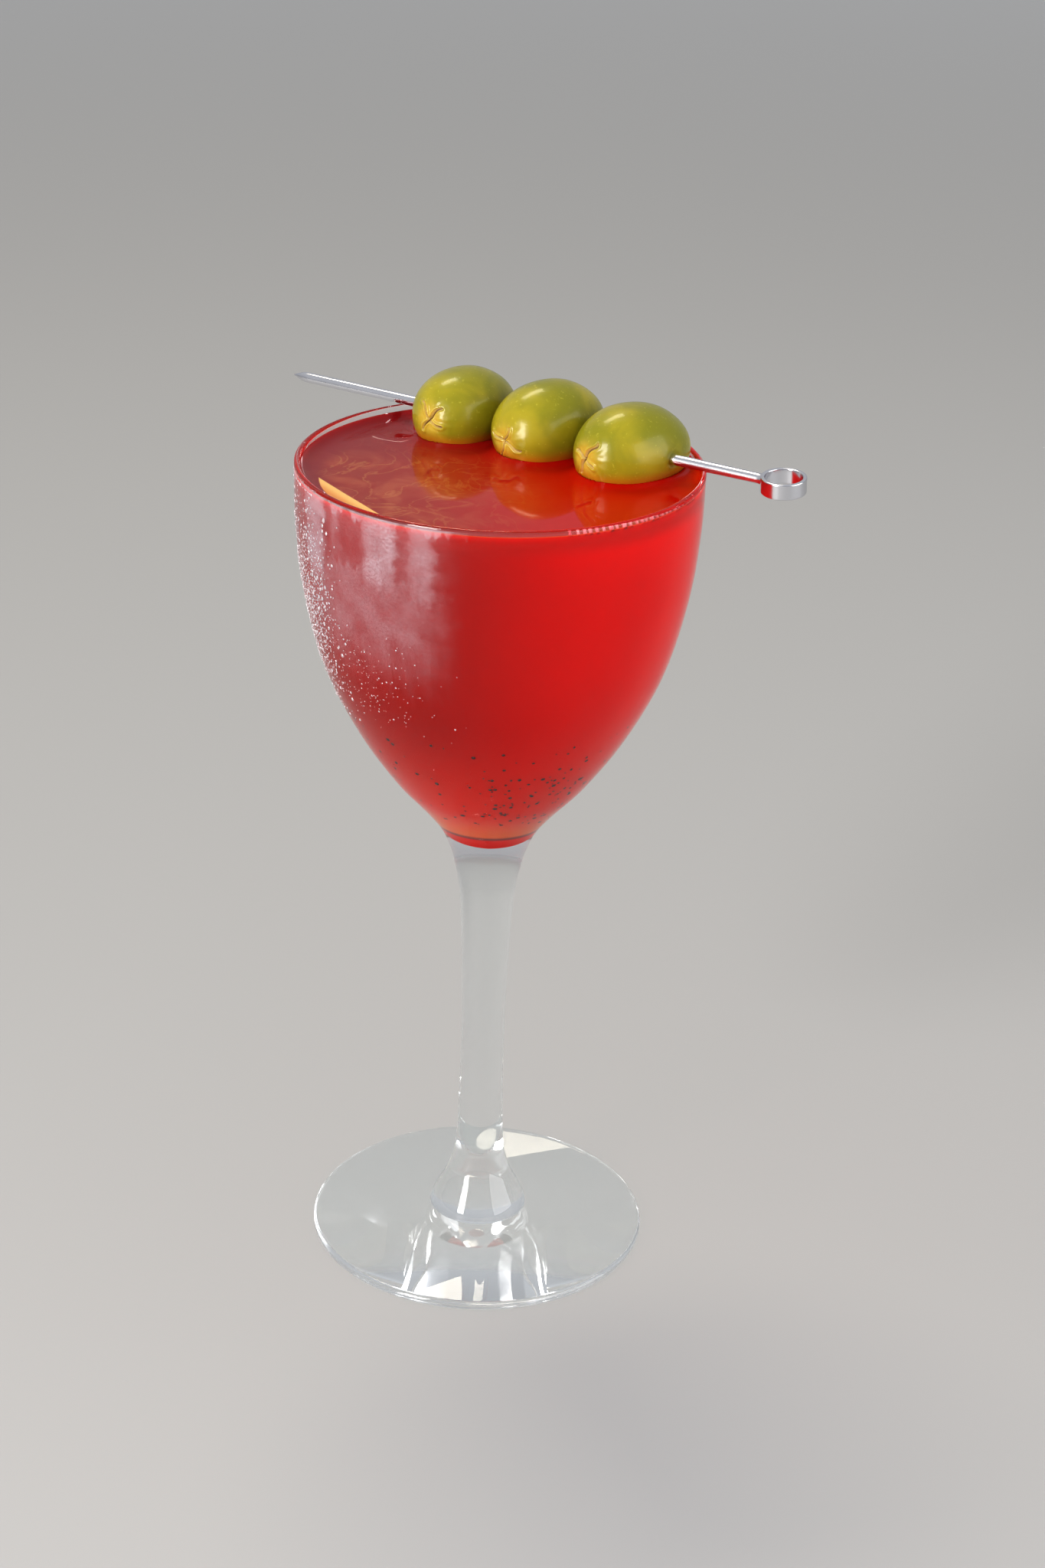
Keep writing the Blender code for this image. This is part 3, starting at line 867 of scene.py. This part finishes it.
def makeDew():
    look = dewLook
    draw = random.Random(look["seed"])
    places = []
    most = sum(patch["count"] for patch in look["patches"])
    taken = np.zeros((most, 4))  # the spots and sizes of the drops so far, so that none overlap
    for patch in look["patches"]:
        for index in range(patch["count"]):
            left = math.radians(draw.gauss(patch["middle"], patch["spread"]))
            height = draw.gauss(patch["height"], patch["rise"])
            height = min(max(height, look["lowest"]), look["highest"]) * mm
            size = (patch["small"] + (patch["large"] - patch["small"]) * draw.random() ** 3) * mm
            spot, facing = onBowl(left, height, out=size * 0.1)
            tall = size * draw.uniform(1.0, patch["tall"])
            near = taken[:len(places)]
            if len(near) and np.any(np.linalg.norm(near[:, :3] - spot, axis=1) < near[:, 3] + tall):
                continue
            taken[len(places)] = (*spot, size)
            places.append(dropPlace(spot, facing, (size, tall, size * look["lift"])))
    material, tree, shader = newMaterial(
        "clearWater", Base_Color=look["colour"], IOR=1.33, Transmission_Weight=look["clear"],
        Specular_IOR_Level=0.8, Coat_Weight=1.0, Coat_IOR=1.6, Coat_Roughness=0.04)
    speckle = mottle(tree, place(tree), 700.0, 0.3, 0.7)
    tree.links.new(sums(tree, "MULTIPLY_ADD", speckle, 0.06, 0.01), shader.inputs["Roughness"])
    return settle(scatter("dewDrops", places, look["segments"], look["rings"], material), "clear_glass")


beadLook = {
    "from": 20,
    "to": 68,
    "count": 24,
    "radius": 0.42,
    "below": 0.10,
    "fromWall": 0.36,
    "segments": 16,
    "rings": 10,
    "colour": (0.62, 0.05, 0.07),
    "paleColour": (0.82, 0.24, 0.26),
    "seed": 7,
}


def makeBeads():
    # a row of small bubbles held where the drink climbs the wall, front right
    look = beadLook
    draw = random.Random(look["seed"])
    places = []
    for index in range(look["count"]):
        share = (index + draw.uniform(-0.2, 0.2)) / (look["count"] - 1)
        right = math.radians(look["from"] + (look["to"] - look["from"]) * share)
        size = look["radius"] * draw.uniform(0.65, 1.1) * mm
        radius = rimRadius - (glassLook["rimThickness"] + look["fromWall"]) * mm
        spot = Vector((math.sin(right) * radius, -math.cos(right) * radius, wallTop - look["below"] * mm))
        places.append(Matrix.Translation(spot) @ Matrix.Scale(size, 4))
    material, tree, shader = newMaterial(
        "bubbleSkin", Roughness=0.08, IOR=1.33, Coat_Weight=0.5, Coat_Roughness=0.03)
    tint = mottle(tree, place(tree), 900.0, 0.3, 0.7)
    tree.links.new(blendColour(tree, tint, look["colour"], look["paleColour"]), shader.inputs["Base Color"])
    return settle(scatter("rimBubbles", places, look["segments"], look["rings"], material), "red_drink")


speckLook = {
    "seed": 19,
    "count": 340,
    "bottom": 89.0,
    "top": 110.0,
    "cluster": {"middle": 16, "spread": 16, "bottom": 90.5, "top": 103.0, "count": 48},
    "small": 0.17,
    "large": 0.39,
    "lift": 0.75,
    "under": 0.02,
    "segments": 8,
    "rings": 5,
    "colour": (0.012, 0.001, 0.0005),
    "lightColour": (0.05, 0.003, 0.001),
}


def makeSpecks():
    # fine dark grains that have settled against the lower wall
    look = speckLook
    draw = random.Random(look["seed"])
    places = []
    cluster = look["cluster"]
    skin = sideways(insideLine, (drinkLook["intoWall"] - look["under"]) * mm)
    for index in range(look["count"] + cluster["count"]):
        if index < look["count"]:
            right = draw.uniform(0, math.tau)
            height = (look["bottom"] + (look["top"] - look["bottom"]) * draw.random() ** 1.1) * mm
        else:
            right = math.radians(draw.gauss(cluster["middle"], cluster["spread"]))
            height = draw.uniform(cluster["bottom"], cluster["top"]) * mm
        for low, high in zip(skin, skin[1:]):
            if low.y <= height <= high.y:
                radius = low.x + (high.x - low.x) * (height - low.y) / (high.y - low.y)
                slope = (high - low).normalized()
        away = Vector((math.sin(right), -math.cos(right), 0.0))
        facing = (away * slope.y - Vector((0.0, 0.0, slope.x))).normalized()
        size = (look["small"] + (look["large"] - look["small"]) * draw.random() ** 1.6) * mm
        spot = away * radius + Vector((0.0, 0.0, height))
        places.append(dropPlace(spot, facing, (size * draw.uniform(0.7, 1.3), size, size * look["lift"])))
    material, tree, shader = newMaterial("spiceGrain", Roughness=0.6)
    tone = mottle(tree, place(tree), 800.0, 0.3, 0.7)
    tree.links.new(blendColour(tree, tone, look["colour"], look["lightColour"]), shader.inputs["Base Color"])
    return settle(scatter("settledSpecks", places, look["segments"], look["rings"], material), "red_drink")


# Stage: pale floor, soft lights and the camera

stageLook = {
    "floorSize": 8.0,
    "floorColour": (0.46, 0.457, 0.45),
    "farColour": (0.68, 0.68, 0.675),
    "farFrom": 0.6,
    "farTo": 1.9,
    "floorRoughness": 0.55,
    "floorShine": 0.1,
    "floorDrop": 0.00008,
    "horizon": (0.38, 0.385, 0.40),
    "zenith": (0.52, 0.53, 0.55),
    "skyStrength": 0.86,
    "lights": (
        {"name": "windowLeft", "from": (-0.55, -0.64, 0.36), "size": (0.26, 0.62), "watts": 6.4,
         "colour": (1.0, 0.98, 0.96)},
        {"name": "fillRight", "from": (0.80, -0.36, 0.36), "size": (0.90, 0.70), "watts": 3.5,
         "colour": (0.97, 0.98, 1.0)},
        {"name": "topBack", "from": (-0.20, 0.48, 1.05), "size": (0.50, 0.22), "watts": 2.4,
         "colour": (1.0, 0.90, 0.74)},
    ),
    "bounces": 24,
    "aim": (0.0, 0.0, 0.115),
}
cameraLook = {
    "distance": 0.4952,
    "height": 0.3210,
    "turn": -0.661,
    "down": 24.86,
    "roll": 2.07,
    "lens": 70.2,
}


def makeStage():
    look = stageLook
    ground = bmesh.new()
    bmesh.ops.create_grid(ground, x_segments=8, y_segments=8, size=look["floorSize"] / 2)
    floorMaterial, tree, shader = newMaterial(
        "paleFloor", Roughness=look["floorRoughness"], Specular_IOR_Level=look["floorShine"])
    x, y, z = parts(tree, place(tree))
    far = ease(tree, fromAxis(tree, x, y), look["farFrom"], look["farTo"])  # paler where the lamps reach less
    floorColour = blendColour(tree, far, look["floorColour"], look["farColour"])
    tree.links.new(floorColour, shader.inputs["Base Color"])
    bmesh.ops.translate(ground, vec=(0, 0, -look["floorDrop"]), verts=ground.verts)
    floor = makeObject("floor", ground, floorMaterial)
    world = bpy.data.worlds.new("softRoom")
    world.use_nodes = True
    air = world.node_tree
    rise = ease(air, parts(air, place(air))[2], -0.1, 0.8)
    background = air.nodes["Background"]
    background.inputs["Strength"].default_value = look["skyStrength"]
    air.links.new(blendColour(air, rise, look["horizon"], look["zenith"]), background.inputs["Color"])
    bpy.context.scene.world = world
    for kind in ("max_bounces", "glossy_bounces", "transmission_bounces", "transparent_max_bounces"):
        setattr(bpy.context.scene.cycles, kind, look["bounces"])  # light meets many walls in the foot
    for light in look["lights"]:
        lamp = bpy.data.lights.new(light["name"], "AREA")
        lamp.shape = "RECTANGLE"
        lamp.size, lamp.size_y = light["size"]
        lamp.energy = light["watts"]
        lamp.color = light["colour"]
        holder = bpy.data.objects.new(light["name"], lamp)
        bpy.context.scene.collection.objects.link(holder)
        holder.location = light["from"]
        holder.visible_camera = False
        facing = Vector(look["aim"]) - Vector(light["from"])
        holder.rotation_euler = facing.to_track_quat("-Z", "Y").to_euler()
    print("stage ready:", len(look["lights"]), "soft lights")


def makeCamera():
    look = cameraLook
    lens = bpy.data.cameras.new("photoView")
    lens.lens = look["lens"]
    lens.sensor_width = 36.0
    lens.clip_start = 0.01
    camera = bpy.data.objects.new("photoView", lens)
    bpy.context.scene.collection.objects.link(camera)
    facing = (Euler((0, 0, math.radians(look["turn"]))).to_matrix()
              @ Euler((math.radians(90 - look["down"]), 0, 0)).to_matrix()
              @ Euler((0, 0, math.radians(look["roll"]))).to_matrix())
    camera.matrix_world = Matrix.Translation((0, -look["distance"], look["height"])) @ facing.to_4x4()
    bpy.context.scene.camera = camera
    bpy.context.scene.view_settings.view_transform = "Standard"
    bpy.context.scene.view_settings.look = "High Contrast"


makeCamera()
makeStage()
makeGlass()
oliveMaterial = makeOliveMaterial()
for number, olive in enumerate(oliveLook["places"], start=1):
    makeOlive(number, olive, oliveMaterial)
makePick(makeSteelMaterial())
makeDrink(makeDrinkBodyMaterial(), makeDrinkSurfaceMaterial())
makeBeads()
makeSpecks()
makeMist()
makeDew()
